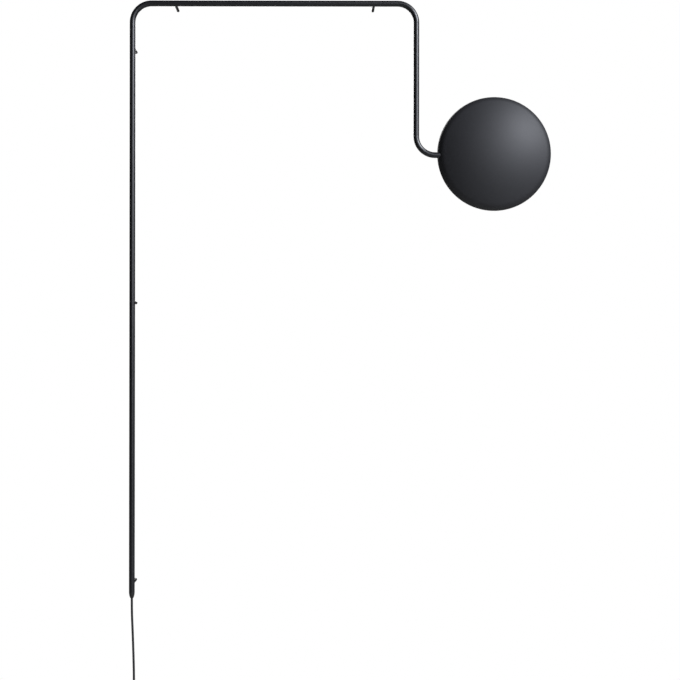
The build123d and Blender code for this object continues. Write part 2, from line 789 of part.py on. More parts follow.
# Rocker on its pin, at rest with its upper end out
with BuildPart() as rocker_pin:
    with BuildSketch(Plane.YZ.offset(switch_x - window_half - ear_t)):
        with Locations((pivot_y, switch_z)):
            Circle(pivot_pin_d / 2)
    extrude(amount=2 * (window_half + ear_t))
rocker_pin.part.label = "rocker_pin"
export_step(rocker_pin.part, "parts/rocker_pin.step")

rocker_out = (0, -cos(radians(rocker_tilt)), -sin(radians(rocker_tilt)))
rocker_side = (switch_x - rocker_w / 2, pivot_y, switch_z)
rocker_plane = Plane(origin=rocker_side, x_dir=rocker_out, z_dir=(1, 0, 0))
rocker_top = pivot_depth + rocker_rise
rocker_half = rocker_len / 2
with BuildPart() as switch_rocker:
    with BuildSketch(rocker_plane):
        with BuildLine():
            Polyline(
                (rocker_top, -rocker_half),
                (rocker_under, -rocker_half),
                (rocker_under, rocker_half),
                (rocker_top, rocker_half),
            )
            ThreePointArc(
                (rocker_top, rocker_half),
                (rocker_top - rocker_dip, 0),
                (rocker_top, -rocker_half),
            )
        make_face()
        Circle(rocker_boss_d / 2)
        Circle(pivot_pin_d / 2 + slide_gap, mode=Mode.SUBTRACT)
    extrude(amount=rocker_w)
switch_rocker.part.label = "switch_rocker"
export_step(switch_rocker.part, "parts/switch_rocker.step")

# Coil: the cord spirals in and out again, a layer further back each time, and hangs from the switch
layer_turns = coil_turns / coil_layers
coil_inner_r = coil_outer_r - coil_pitch * layer_turns
coil_start = radians(coil_start_deg)
coil_z = switch_bottom_z - link_drop - coil_outer_r / sin(coil_start)


def coil_point(turn):
    layer = min(int(turn / layer_turns), coil_layers - 1)
    along = turn - layer * layer_turns
    inward = along if layer % 2 == 0 else layer_turns - along
    radius = coil_outer_r - coil_pitch * inward
    climbs = [(turn - layer_turns * (k + 1)) / coil_climb_turns + 0.5 for k in range(coil_layers - 1)]
    depth = coil_pitch * sum(min(max(climb, 0), 1) for climb in climbs)
    angle = coil_start + 2 * pi * turn
    return Vector(switch_x + radius * cos(angle), tube_y + depth, coil_z + radius * sin(angle))


def coil_direction(turn):
    before = coil_point(turn - coil_look_turns)
    after = coil_point(turn + coil_look_turns)
    return (after - before).normalized()


def biarc_joint(start, start_way, end, end_way):
    # Point and direction where two tangent arcs from start to end meet
    chord = end - start
    square = 2 * (1 - start_way.dot(end_way))
    linear = 2 * chord.dot(start_way + end_way)
    reach = (sqrt(linear**2 + 4 * square * chord.dot(chord)) - linear) / (2 * square)
    first = start + start_way * reach
    second = end - end_way * reach
    return (first + second) * 0.5, (second - first).normalized()


coil_knots = [coil_turns * k / coil_spans for k in range(coil_spans + 1)]
coil_points = [coil_point(turn) for turn in coil_knots]
coil_ways = [coil_direction(turn) for turn in coil_knots]
coil_ways[0] = Vector(-sin(coil_start), 0, cos(coil_start))
coil_ways[-1] = Vector(0, 0, -1)
coil_in = coil_points[0] - coil_ways[0] * cord_d
coil_out = coil_points[-1] + coil_ways[-1] * cord_d
with BuildPart() as cord_coil:
    with BuildLine() as coil_path:
        Line(coil_in, coil_points[0])
        for k in range(coil_spans):
            start, start_way = coil_points[k], coil_ways[k]
            end, end_way = coil_points[k + 1], coil_ways[k + 1]
            joint, joint_way = biarc_joint(start, start_way, end, end_way)
            TangentArc(start, joint, tangent=start_way)
            TangentArc(joint, end, tangent=joint_way)
        Line(coil_points[-1], coil_out)
    with BuildSketch(Plane(origin=coil_in, z_dir=coil_ways[0])):
        Circle(cord_r)
    sweep()
cord_coil.part.label = "cord_coil"
export_step(cord_coil.part, "parts/cord_coil.step")

# Least gap between the coil's turns, on points that lie at least half a turn apart
coil_wire = coil_path.wire()
coil_length = coil_wire.length
sample_count = int(coil_length / cord_r)
samples = [tuple(coil_wire.position_at(k / sample_count)) for k in range(sample_count + 1)]
apart = int(pi * coil_inner_r / cord_r)
least = min(
    sum((a - b) ** 2 for a, b in zip(first, second))
    for k, first in enumerate(samples)
    for second in samples[k + apart:]
)
coil_share = cord_coil.part.volume / (pi * cord_r**2 * coil_length)
print("coil length", round(coil_length, 1), "least gap", round(sqrt(least) - cord_d, 2))
print("coil volume over section times length", round(coil_share, 4))

# Cord from the switch to the coil
link_points = [
    Vector(switch_x, tube_y, switch_bottom_z + cord_in_switch),
    Vector(switch_x, tube_y, switch_bottom_z - link_drop),
    coil_in,
]
link_radii = route_radii(link_points)
print("link radii", [round(radius) for radius in link_radii])
with BuildPart() as cord_link:
    with BuildLine() as link_path:
        FilletPolyline(*link_points, radius=link_radii)
    with BuildSketch(Plane(origin=link_points[0], z_dir=(0, 0, -1))):
        Circle(cord_r)
    sweep()
cord_link.part.label = "cord_link"
export_step(cord_link.part, "parts/cord_link.step")

# Strap round the bundle at the top of the coil
bundle_depth = coil_pitch * (coil_layers - 1) + cord_d + 2 * tie_gap
bundle_height = coil_outer_r - coil_inner_r + cord_d + 2 * tie_gap
bundle_middle = (
    tube_y + coil_pitch * (coil_layers - 1) / 2,
    coil_z + (coil_outer_r + coil_inner_r) / 2,
)
with BuildPart() as coil_tie:
    with BuildSketch(Plane.YZ.offset(switch_x - tie_w / 2)):
        with Locations(bundle_middle):
            RectangleRounded(bundle_depth + 2 * tie_t, bundle_height + 2 * tie_t, cord_r + tie_t)
            RectangleRounded(bundle_depth, bundle_height, cord_r, mode=Mode.SUBTRACT)
    extrude(amount=tie_w)
coil_tie.part.label = "coil_tie"
export_step(coil_tie.part, "parts/coil_tie.step")

# Straight end of the cord, down to the plug
with BuildPart() as cord_tail:
    with BuildSketch(Plane(origin=coil_out, z_dir=(0, 0, -1))):
        Circle(cord_r)
    extrude(amount=tail_len)
cord_tail.part.label = "cord_tail"
export_step(cord_tail.part, "parts/cord_tail.step")

in_switch = switch_len - 2 * cord_in_switch
drop_length = drop_path.wire().length
link_length = link_path.wire().length
free_cord = drop_length + in_switch + link_length + coil_length + tail_len
print("free cord", round(free_cord, 1))


def plug_section(below):
    # Section square to the plug's axis, a distance below the end of the cord
    middle = coil_out - Vector(0, 0, tail_len + below)
    return Plane(origin=middle, x_dir=(1, 0, 0), z_dir=(0, 0, -1))


# Moulded plug: a tapered strain relief, a body that widens to its face, and two round pins
plug_face = relief_len + plug_taper_len + plug_foot_len
plug_pin_spots = [(plug_pin_span / 2, 0), (-plug_pin_span / 2, 0)]
with BuildPart() as plug_body:
    with BuildSketch(plug_section(0)):
        Circle(relief_top_d / 2)
    with BuildSketch(plug_section(relief_len)):
        Circle(relief_foot_d / 2)
    loft()
    with BuildSketch(plug_section(relief_len)):
        RectangleRounded(plug_neck_w, plug_neck_t, plug_corner_r)
    with BuildSketch(plug_section(relief_len + plug_taper_len)):
        RectangleRounded(plug_w, plug_t, plug_corner_r)
    loft()
    with BuildSketch(plug_section(relief_len + plug_taper_len)):
        RectangleRounded(plug_w, plug_t, plug_corner_r)
    extrude(amount=plug_foot_len)
    with BuildSketch(plug_section(plug_face)):
        with Locations(*plug_pin_spots):
            Circle(plug_pin_d / 2 + press_gap)
    extrude(amount=-plug_pin_root, mode=Mode.SUBTRACT)
plug_body.part.label = "plug_body"
export_step(plug_body.part, "parts/plug_body.step")

with BuildPart() as plug_pins:
    with BuildSketch(plug_section(plug_face - plug_pin_root)):
        with Locations(*plug_pin_spots):
            Circle(plug_pin_d / 2)
    extrude(amount=plug_pin_root + plug_pin_len)
    fillet(plug_pins.faces().sort_by(Axis.Z)[:2].edges(), plug_pin_d / 4)
plug_pins.part.label = "plug_pins"
export_step(plug_pins.part, "parts/plug_pins.step")
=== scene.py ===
import math

import bpy
from mathutils import Matrix, Vector


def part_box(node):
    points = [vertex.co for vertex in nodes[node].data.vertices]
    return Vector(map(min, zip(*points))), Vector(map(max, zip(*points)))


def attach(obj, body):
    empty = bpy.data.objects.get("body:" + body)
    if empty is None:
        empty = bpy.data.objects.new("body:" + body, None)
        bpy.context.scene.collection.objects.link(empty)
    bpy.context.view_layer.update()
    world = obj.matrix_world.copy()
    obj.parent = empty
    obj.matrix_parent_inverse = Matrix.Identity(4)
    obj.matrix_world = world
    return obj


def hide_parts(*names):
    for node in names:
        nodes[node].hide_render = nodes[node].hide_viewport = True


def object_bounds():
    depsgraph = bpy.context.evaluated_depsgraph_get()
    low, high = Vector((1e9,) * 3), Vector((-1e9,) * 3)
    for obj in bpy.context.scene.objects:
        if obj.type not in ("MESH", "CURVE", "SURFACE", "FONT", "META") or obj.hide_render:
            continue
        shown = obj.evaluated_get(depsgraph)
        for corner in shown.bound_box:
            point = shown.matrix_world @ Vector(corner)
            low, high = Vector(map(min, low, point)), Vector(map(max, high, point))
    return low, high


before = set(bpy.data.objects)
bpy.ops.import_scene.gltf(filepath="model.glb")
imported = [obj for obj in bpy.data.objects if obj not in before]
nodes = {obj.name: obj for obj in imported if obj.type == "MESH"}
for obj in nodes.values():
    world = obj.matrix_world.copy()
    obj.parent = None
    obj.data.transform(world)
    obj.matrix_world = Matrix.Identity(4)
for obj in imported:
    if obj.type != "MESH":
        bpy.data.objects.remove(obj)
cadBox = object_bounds()
mm = 0.001
print("frame loaded with", len(nodes), "nodes")


# Small tools for modelling
softAngle = math.radians(35)  # faces that meet at a flatter angle are shaded as one
weldGap = 0.001  # mm between corners that are merged
near = 0.01  # mm between two places that count as one
past = 1.0  # mm that a cutter reaches beyond what it cuts


def letGo():
    if bpy.context.object and bpy.context.object.mode != "OBJECT":
        bpy.ops.object.mode_set(mode="OBJECT")
    bpy.ops.object.select_all(action="DESELECT")


def pickUp(piece):
    letGo()
    piece.select_set(True)
    bpy.context.view_layer.objects.active = piece


def smoothOff(piece):
    pickUp(piece)
    bpy.ops.object.shade_smooth_by_angle(angle=softAngle)


def tidyMesh(piece):
    # merges doubles, turns faces outwards, puts the place into the mesh
    pickUp(piece)
    bpy.ops.object.transform_apply(location=True, rotation=True, scale=True)
    bpy.ops.object.mode_set(mode="EDIT")
    bpy.ops.mesh.select_all(action="SELECT")
    bpy.ops.mesh.remove_doubles(threshold=weldGap * mm)
    bpy.ops.mesh.normals_make_consistent(inside=False)
    bpy.ops.object.mode_set(mode="OBJECT")
    smoothOff(piece)


def applyModifier(piece, kind, **settings):
    pickUp(piece)
    modifier = piece.modifiers.new(kind.lower(), kind)
    for key, value in settings.items():
        setattr(modifier, key, value)
    bpy.ops.object.modifier_apply(modifier=modifier.name)


def cutAway(piece, cutter):
    applyModifier(piece, "BOOLEAN", operation="DIFFERENCE", solver="EXACT", object=cutter)
    bpy.data.objects.remove(cutter)
    smoothOff(piece)


def growTogether(piece, other):
    applyModifier(piece, "BOOLEAN", operation="UNION", solver="EXACT", object=other)
    bpy.data.objects.remove(other)
    smoothOff(piece)


def copyPiece(piece, name, step):
    pickUp(piece)
    bpy.ops.object.duplicate(linked=False)
    twin = bpy.context.object
    twin.name = name
    twin.location = Vector(step)
    bpy.ops.object.transform_apply(location=True, rotation=False, scale=False)
    return twin


def turnPiece(name, rings, centre, axis, sides, fill=True):
    # a circle drawn along an axis ring by ring, as on a lathe: (radius, place along) in mm
    letGo()
    lean = {"X": (0, math.pi / 2, 0), "Y": (math.pi / 2, 0, 0), "Z": (0, 0, 0)}[axis]
    way = Vector([float(axis == letter) for letter in "XYZ"])
    spot = (Vector(centre) + way * rings[0][1]) * mm
    bpy.ops.mesh.primitive_circle_add(vertices=sides, radius=rings[0][0] * mm, location=spot, rotation=lean)
    piece = bpy.context.object
    piece.name = name
    bpy.ops.object.mode_set(mode="EDIT")
    bpy.ops.mesh.select_all(action="SELECT")
    for (radius, place), (nextRadius, nextPlace) in zip(rings, rings[1:]):
        step = way * (nextPlace - place) * mm
        bpy.ops.mesh.extrude_region_move(TRANSFORM_OT_translate={"value": step})
        if not math.isclose(radius, nextRadius):
            grow = nextRadius / radius
            spot = (Vector(centre) + way * nextPlace) * mm
            bpy.ops.transform.resize(value=(grow, grow, grow), center_override=spot)
    if fill:
        bpy.ops.mesh.select_all(action="SELECT")
        bpy.ops.mesh.fill_holes(sides=0)
    tidyMesh(piece)
    return piece


def rod(name, diameter, ends, centre, axis, sides):
    # a plain round bar between two places along its axis
    return turnPiece(name, [(diameter / 2, place) for place in ends], centre, axis, sides)


def block(name, low, high):
    # a cube stretched between two corners in mm
    letGo()
    low, high = Vector(low), Vector(high)
    bpy.ops.mesh.primitive_cube_add(size=1, location=(low + high) / 2 * mm, scale=(high - low) * mm)
    piece = bpy.context.object
    piece.name = name
    bpy.ops.object.transform_apply(location=True, rotation=True, scale=True)
    return piece


def chooseNone(piece):
    pickUp(piece)
    for part in (piece.data.vertices, piece.data.edges, piece.data.polygons):
        for item in part:
            item.select = False


def runsAlong(letter):
    # tests whether an edge runs in a direction
    return lambda a, b: abs(getattr(a, letter) - getattr(b, letter)) > near


def liesAt(letter, *places):
    # tests whether both ends of an edge lie at one of some places
    def wanted(a, b):
        gaps = [[abs(getattr(end, letter) - place) for end in (a, b)] for place in places]
        return any(max(gap) < near for gap in gaps)
    return wanted


def bevelEdges(piece, width, segments, *tests):
    # bevels the edges whose two ends, in mm, pass every test
    chooseNone(piece)
    bpy.context.tool_settings.mesh_select_mode = (False, True, False)
    for edge in piece.data.edges:
        ends = [piece.data.vertices[i].co / mm for i in edge.vertices]
        edge.select = all(wanted(*ends) for wanted in tests)
    bpy.ops.object.mode_set(mode="EDIT")
    bpy.ops.mesh.bevel(offset=width * mm, segments=segments, affect="EDGES", clamp_overlap=True)
    bpy.ops.mesh.select_mode(type="VERT")
    bpy.ops.object.mode_set(mode="OBJECT")


def chooseFaces(piece, wanted):
    # wanted tests a face's centre in mm and its normal; leaves the piece in edit mode
    chooseNone(piece)
    bpy.context.tool_settings.mesh_select_mode = (False, False, True)
    for face in piece.data.polygons:
        face.select = wanted(face.center / mm, face.normal)
    bpy.ops.object.mode_set(mode="EDIT")


def dress(piece, material, body, standsFor):
    piece.data.materials.clear()
    piece.data.materials.append(material)
    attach(piece, body)
    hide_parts(*standsFor)


def arcPoints(centre, radius, fromDeg, toDeg, count):
    steps = [math.radians(fromDeg + (toDeg - fromDeg) * k / count) for k in range(count + 1)]
    return [(centre[0] + radius * math.cos(a), centre[1] + radius * math.sin(a)) for a in steps]


def middle(node):
    low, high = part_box(node)
    return (low + high) / 2 / mm


# Tools for materials
noiseSpan = (0.3, 0.7)  # nearly all values of a noise texture lie between these


def linear(hexColour):
    parts = [int(hexColour[k:k + 2], 16) / 255 for k in (1, 3, 5)]
    return [c / 12.92 if c <= 0.04045 else ((c + 0.055) / 1.055) ** 2.4 for c in parts] + [1]


def addNode(tree, kind, inputs=None, **options):
    node = tree.nodes.new(kind)
    for key, value in options.items():
        setattr(node, key, value)
    for key, value in (inputs or {}).items():
        if isinstance(value, bpy.types.NodeSocket):
            tree.links.new(value, node.inputs[key])
        else:
            node.inputs[key].default_value = value
    return node


def startMaterial(name):
    material = bpy.data.materials.new(name)
    material.use_nodes = True
    material.node_tree.nodes.clear()
    return material, material.node_tree


def addPlace(tree):
    return addNode(tree, "ShaderNodeTexCoord").outputs["Object"]


def addNoise(tree, place, sizeMm, detail):
    grain = {"Vector": place, "Scale": 1 / (sizeMm * mm), "Detail": detail}
    return addNode(tree, "ShaderNodeTexNoise", grain).outputs["Fac"]


def addBands(tree, place, sizeMm, way, wander=0.0):
    # one band of the wave texture is pi / 10 units long
    bands = {"Vector": place, "Scale": math.pi / 10 / (sizeMm * mm), "Distortion": wander}
    return addNode(tree, "ShaderNodeTexWave", bands, wave_type="BANDS", bands_direction=way).outputs["Fac"]


def addTone(tree, factor, first, second):
    tones = {"Factor": factor, "A": linear(first), "B": linear(second)}
    return addNode(tree, "ShaderNodeMix", tones, data_type="RGBA").outputs["Result"]


def addRough(tree, factor, span):
    ends = {"From Min": noiseSpan[0], "From Max": noiseSpan[1], "To Min": span[0], "To Max": span[1]}
    return addNode(tree, "ShaderNodeMapRange", {"Value": factor, **ends}).outputs["Result"]


def addBump(tree, height, strength, heightMm):
    relief = {"Height": height, "Strength": strength, "Distance": heightMm * mm}
    return addNode(tree, "ShaderNodeBump", relief).outputs["Normal"]


def endMaterial(tree, inputs):
    shader = addNode(tree, "ShaderNodeBsdfPrincipled", inputs)
    addNode(tree, "ShaderNodeOutputMaterial", {"Surface": shader.outputs["BSDF"]})


# Satin polyester powder coat on steel: a dark graphite skin with a broad soft sheen.
# The cured powder leaves a shallow orange peel and a fine grit that only close light shows.
coatLook = {
    "mottleMm": 7.0, "mottleDetail": 3.0, "gritMm": 0.5, "gritDetail": 1.0,
    "peelMm": 1.8, "peelDetail": 1.0, "peelHeightMm": 0.03, "peelStrength": 0.6, "ior": 1.5,
    # painted shade: one coat in two tones, the tube's copy darker and the shade's paler, standing in for how
    # light falls on each
    "tube": {"dark": "#0f0f11", "light": "#141416", "rough": (0.33, 0.39)},
    # the spun shade's copy of the coat is painted a little paler, and is more matt
    "shade": {"dark": "#18181a", "light": "#1e1e21", "rough": (0.57, 0.64)},
}


def powderCoat(name, skin):
    material, tree = startMaterial(name)
    place = addPlace(tree)
    mottle, grit, peel = (
        addNoise(tree, place, coatLook[grain + "Mm"], coatLook[grain + "Detail"])
        for grain in ("mottle", "grit", "peel")
    )
    endMaterial(tree, {
        "Base Color": addTone(tree, mottle, skin["dark"], skin["light"]),
        "Roughness": addRough(tree, grit, skin["rough"]),
        "Normal": addBump(tree, peel, coatLook["peelStrength"], coatLook["peelHeightMm"]),
        "IOR": coatLook["ior"],
    })
    return material


# Plastics, ceramic and rubber: colour drifts a little over patchMm, and a grain of grainMm roughens the skin
dullFine = {"patchDetail": 4.0, "grainDetail": 2.0, "grainStrength": 0.3}
dullLooks = {
    # PA6 moulded in a spark-eroded tool: deep black with a fine even grain that scatters the light
    "mouldedNylon": {
        "dark": "#0c0c0d", "light": "#151516", "patchMm": 9.0, "grainMm": 0.6, "grainHeightMm": 0.02,
        "rough": (0.44, 0.58), "ior": 1.53,
    },
    # PVC drawn over the cores: black with a waxy, slightly uneven shine
    "extrudedPvc": {
        "dark": "#0a0a0b", "light": "#121213", "patchMm": 14.0, "grainMm": 1.2, "grainHeightMm": 0.015,
        "rough": (0.50, 0.60), "ior": 1.53,
    },
    # Steatite pressed and fired without glaze: warm white, chalky, with fine grey specks
    "firedSteatite": {
        "dark": "#d2ccbf", "light": "#ebe7dd", "patchMm": 0.9, "grainMm": 0.4, "grainHeightMm": 0.02,
        "rough": (0.62, 0.78), "ior": 1.6,
    },
    # Silicone sleeve over the cores: rust brown and rubbery, with almost no shine
    "siliconeSleeve": {
        "dark": "#7d432c", "light": "#96543a", "patchMm": 3.0, "grainMm": 0.5, "grainHeightMm": 0.01,
        "rough": (0.60, 0.70), "ior": 1.41,
    },
    # Opal polycarbonate: milky white, smooth and shiny, with a little cloudiness
    "opalPolycarbonate": {
        "dark": "#e4e2da", "light": "#f3f1ea", "patchMm": 6.0, "grainMm": 2.0, "grainHeightMm": 0.004,
        "rough": (0.24, 0.30), "ior": 1.58,
    },
}


def dullMaterial(name):
    look = dullLooks[name]
    material, tree = startMaterial(name)
    place = addPlace(tree)
    patch = addNoise(tree, place, look["patchMm"], dullFine["patchDetail"])
    grain = addNoise(tree, place, look["grainMm"], dullFine["grainDetail"])
    endMaterial(tree, {
        "Base Color": addTone(tree, patch, look["dark"], look["light"]),
        "Roughness": addRough(tree, grain, look["rough"]),
        "Normal": addBump(tree, grain, dullFine["grainStrength"], look["grainHeightMm"]),
        "IOR": look["ior"],
    })
    return material


# Metals: tint drifts over patchMm, and lines of lineMm run round the way that the piece was turned or cut
metalFine = {"patchDetail": 4.0, "lineWander": 0.4, "lineStrength": 0.4}
metalLooks = {
    # Bright zinc plate, blue passivated: cool silver with cloudy patches
    "zincPlatedSteel": {
        "dark": "#a9aeb6", "light": "#cfd3d6", "patchMm": 5.0, "lineMm": 0.8, "way": "X",
        "lineHeightMm": 0.006, "rough": (0.28, 0.44),
    },
    # Brass turned from bar: warm yellow with fine tool rings
    "turnedBrass": {
        "dark": "#b0863c", "light": "#d0a658", "patchMm": 4.0, "lineMm": 0.6, "way": "X",
        "lineHeightMm": 0.01, "rough": (0.24, 0.36),
    },
    # Nickel plate over brass: slightly yellow silver, drawn bright along the pin
    "nickelPlate": {
        "dark": "#b9b4aa", "light": "#d6d2c9", "patchMm": 3.0, "lineMm": 0.9, "way": "Z",
        "lineHeightMm": 0.003, "rough": (0.16, 0.26),
    },
}


def metalMaterial(name):
    look = metalLooks[name]
    material, tree = startMaterial(name)
    place = addPlace(tree)
    patch = addNoise(tree, place, look["patchMm"], metalFine["patchDetail"])
    lines = addBands(tree, place, look["lineMm"], look["way"], metalFine["lineWander"])
    endMaterial(tree, {
        "Base Color": addTone(tree, patch, look["dark"], look["light"]),
        "Roughness": addRough(tree, patch, look["rough"]),
        "Normal": addBump(tree, lines, metalFine["lineStrength"], look["lineHeightMm"]),
        "Metallic": 1.0,
    })
    return material


# Light board: white solder mask with a yellow phosphor dot over each chip
boardLook = {
    "mask": "#ece9df", "phosphor": "#e0b83c", "pitchMm": 3.5, "dotMm": 1.0, "edgeBlur": 1.1, "rough": 0.45,
}


def boardMaterial():
    material, tree = startMaterial("whiteLightBoard")
    grid = {"Vector": addPlace(tree), "Scale": 1 / (boardLook["pitchMm"] * mm), "Randomness": 0.0}
    dots = addNode(tree, "ShaderNodeTexVoronoi", grid, voronoi_dimensions="3D")
    edge = boardLook["dotMm"] / boardLook["pitchMm"]
    fade = {"From Min": edge, "From Max": edge * boardLook["edgeBlur"], "To Min": 1.0, "To Max": 0.0}
    where = addNode(tree, "ShaderNodeMapRange", {"Value": dots.outputs["Distance"], **fade})
    endMaterial(tree, {
        "Base Color": addTone(tree, where.outputs["Result"], boardLook["mask"], boardLook["phosphor"]),
        "Roughness": boardLook["rough"],
    })
    return material


# Woven nylon strap: black warp and weft cross at the thread spacing; the crossings are painted lighter in
# small squares, a painted highlight over the real weave bump
strapLook = {
    "dark": "#0b0b0c", "light": "#1c1c1e", "threadMm": 0.8, "threadHeightMm": 0.12, "threadStrength": 0.6,
    "rough": 0.8, "sheen": 0.25,
}


def strapMaterial():
    material, tree = startMaterial("wovenNylonStrap")
    place, thread = addPlace(tree), strapLook["threadMm"]
    across = addBands(tree, place, thread, "X")
    along = addBands(tree, place, thread / math.sqrt(2), "DIAGONAL")
    weaveAndHighlight = addNode(tree, "ShaderNodeMath", {0: across, 1: along}, operation="MULTIPLY").outputs["Value"]
    # painted highlight: the weave lightens the base colour where threads cross, and also drives the real bump
    endMaterial(tree, {
        "Base Color": addTone(tree, weaveAndHighlight, strapLook["dark"], strapLook["light"]),
        "Roughness": strapLook["rough"],
        "Normal": addBump(tree, weaveAndHighlight, strapLook["threadStrength"], strapLook["threadHeightMm"]),
        "Sheen Weight": strapLook["sheen"],
    })
    return material


tubeCoat = powderCoat("graphitePowderCoat", coatLook["tube"])
shadeCoat = powderCoat("graphiteShadeCoat", coatLook["shade"])
nylon, pvc, steatite, silicone, opal = (dullMaterial(name) for name in dullLooks)
zinc, brass, nickel = (metalMaterial(name) for name in metalLooks)
lightBoard, strapWeave = boardMaterial(), strapMaterial()

# CAD nodes that stay as they are, each with its real finish
cadFinishes = [
    (nylon, ["bush_outer", "bush_inner", "switch_back"]),
    (zinc, ["standoff_grub_screws", "collar_grub_screws", "collar_outer", "collar_inner", "wave_washer"]),
    (zinc, ["shade_bracket", "stud_nuts", "ring_nuts", "thread_nipple", "holder_bridge", "holder_screws"]),
    (zinc, ["switch_screws", "rocker_pin"]),
    (brass, ["tube_insert", "switch_terminals"]),
    (nickel, ["holder_contacts", "bulb_pins", "plug_pins"]),
    (steatite, ["lamp_holder", "bulb_base"]),
    (lightBoard, ["led_board"]),
    (opal, ["bulb_capsule"]),
]
for finish, names in cadFinishes:
    for name in names:
        nodes[name].material_slots[0].material = finish
print("materials ready,", sum(len(names) for finish, names in cadFinishes), "CAD nodes dressed")


# Mains cord: hangs from the gland, runs through the switch, and the spare length is a tied coil
cordSet = {
    "diameter": 6.0,
    "exit": (-373.0, -60.0, -1563.0),
    "hang": [(0, 0), (0, 36), (1.9, 78), (3.6, 122), (4.9, 164), (5.8, 200), (5.8, 236)],
    "link": [(5.8, 276), (5.8, 310)],
    "coilRadius": 38.6, "coilPitch": 6.8, "coilLayers": 4, "coilTurns": 8.125,
    "coilStart": 135.0, "climbTurns": 0.5, "pointsPerTurn": 16,
    "tail": 20.0, "inPlug": 6.0, "length": 1.993,
    "steps": 8, "roundSteps": 6, "order": 3,  # fineness along and round, and the order of the curve
}


def cordRoute():
    exitX, exitY, exitZ = cordSet["exit"]
    points = [(exitX + aside, exitY, exitZ - below) for aside, below in cordSet["hang"] + cordSet["link"]]
    start = math.radians(cordSet["coilStart"])
    radius, pitch, layers = cordSet["coilRadius"], cordSet["coilPitch"], cordSet["coilLayers"]
    layerTurns = cordSet["coilTurns"] / layers
    middleX = exitX + cordSet["link"][-1][0]
    middleZ = exitZ - cordSet["link"][-1][1] - radius / math.sin(start)
    lead = cordSet["diameter"]
    points.append((
        middleX + radius * math.cos(start) + lead * math.sin(start), exitY,
        middleZ + radius * math.sin(start) - lead * math.cos(start),
    ))
    spread = 1 / math.cos(math.pi / cordSet["pointsPerTurn"])  # the line runs a little inside its points
    count = round(cordSet["coilTurns"] * cordSet["pointsPerTurn"])
    for k in range(count + 1):
        turn = cordSet["coilTurns"] * k / count
        layer = min(int(turn / layerTurns), layers - 1)
        along = turn - layer * layerTurns
        inward = along if layer % 2 == 0 else layerTurns - along
        ring = (radius - pitch * inward) * (spread if 0 < k < count else 1)
        # each climb to the next layer is half done where the layer ends
        climbs = [(turn - layerTurns * (n + 1)) / cordSet["climbTurns"] + 0.5 for n in range(layers - 1)]
        back = pitch * sum(min(max(climb, 0), 1) for climb in climbs)
        angle = start + 2 * math.pi * turn
        points.append((middleX + ring * math.cos(angle), exitY + back, middleZ + ring * math.sin(angle)))
    lastX, lastY, lastZ = points[-1]
    points.append((lastX, lastY, lastZ - lead))
    points.append((lastX, lastY, lastZ - lead - cordSet["tail"] - cordSet["inPlug"]))
    return points


def layCord(name, route, diameter):
    curve = bpy.data.curves.new(name, "CURVE")
    curve.dimensions = "3D"
    curve.resolution_u = cordSet["steps"]
    curve.bevel_depth = diameter / 2 * mm
    curve.bevel_resolution = cordSet["roundSteps"]
    curve.use_fill_caps = True
    spline = curve.splines.new("NURBS")
    spline.points.add(len(route) - 1)
    for point, spot in zip(spline.points, route):
        point.co = (*(value * mm for value in spot), 1)
    spline.order_u = cordSet["order"]
    spline.use_endpoint_u = True
    cord = bpy.data.objects.new(name, curve)
    bpy.context.scene.collection.objects.link(cord)
    return cord


mainsCord = layCord("mainsCord", cordRoute(), cordSet["diameter"])
dress(mainsCord, pvc, "wall_frame", ["cord_drop", "cord_link", "cord_coil", "cord_tail"])
print("cord laid with", len(mainsCord.data.splines[0].points), "points")

# Cable inside the tube and the two cores that leave it for the lampholder
feedSet = {
    "diameter": 6.0, "leadIn": 117.0,  # how far from each corner the cable starts to lean into the bend
    "corners": [(-373.0, 0.0), (373.0, 0.0), (373.0, -398.0)],
    "start": (-373.0, -1563.0), "end": (498.8, -398.0),
    "coreDiameter": 2.0, "coreRun": [(498.8, 1.6), (522.5, 1.6), (527.5, 4.5), (529.4, 4.5)],
}


def feedRoute():
    leadIn, depth = feedSet["leadIn"], cordSet["exit"][1]
    (leftX, topZ), (rightX, topZ), (rightX, armZ) = feedSet["corners"]
    flat = [feedSet["start"], (leftX, topZ - leadIn), (leftX, topZ), (leftX + leadIn, topZ)]
    flat += [(rightX - leadIn, topZ), (rightX, topZ), (rightX, topZ - leadIn)]
    flat += [(rightX, armZ + leadIn), (rightX, armZ), (rightX + leadIn, armZ), feedSet["end"]]
    return [(x, depth, z) for x, z in flat]


def coreRoute(side):
    depth, armZ = cordSet["exit"][1], feedSet["end"][1]
    return [(x, depth, armZ + side * off) for x, off in feedSet["coreRun"]]


feedCable = layCord("feedCable", feedRoute(), feedSet["diameter"])
dress(feedCable, pvc, "wall_frame", ["cord_in_tube"])
for name, side in (("leadCoreUpper", 1), ("leadCoreLower", -1)):
    core = layCord(name, coreRoute(side), feedSet["coreDiameter"])
    dress(core, silicone, "wall_frame", ["lead_wires"])
print("cable and cores run through the tube")


# Bent tube: a circle drawn up the wall, round three bends and out to the lampholder
tubeSet = {
    "diameter": 15.0, "wall": 1.5, "bend": 50.0, "span": 746.0, "upright": 1547.0, "drop": 398.0,
    "fromWall": 60.0, "sides": 48, "bendSteps": 24,
}


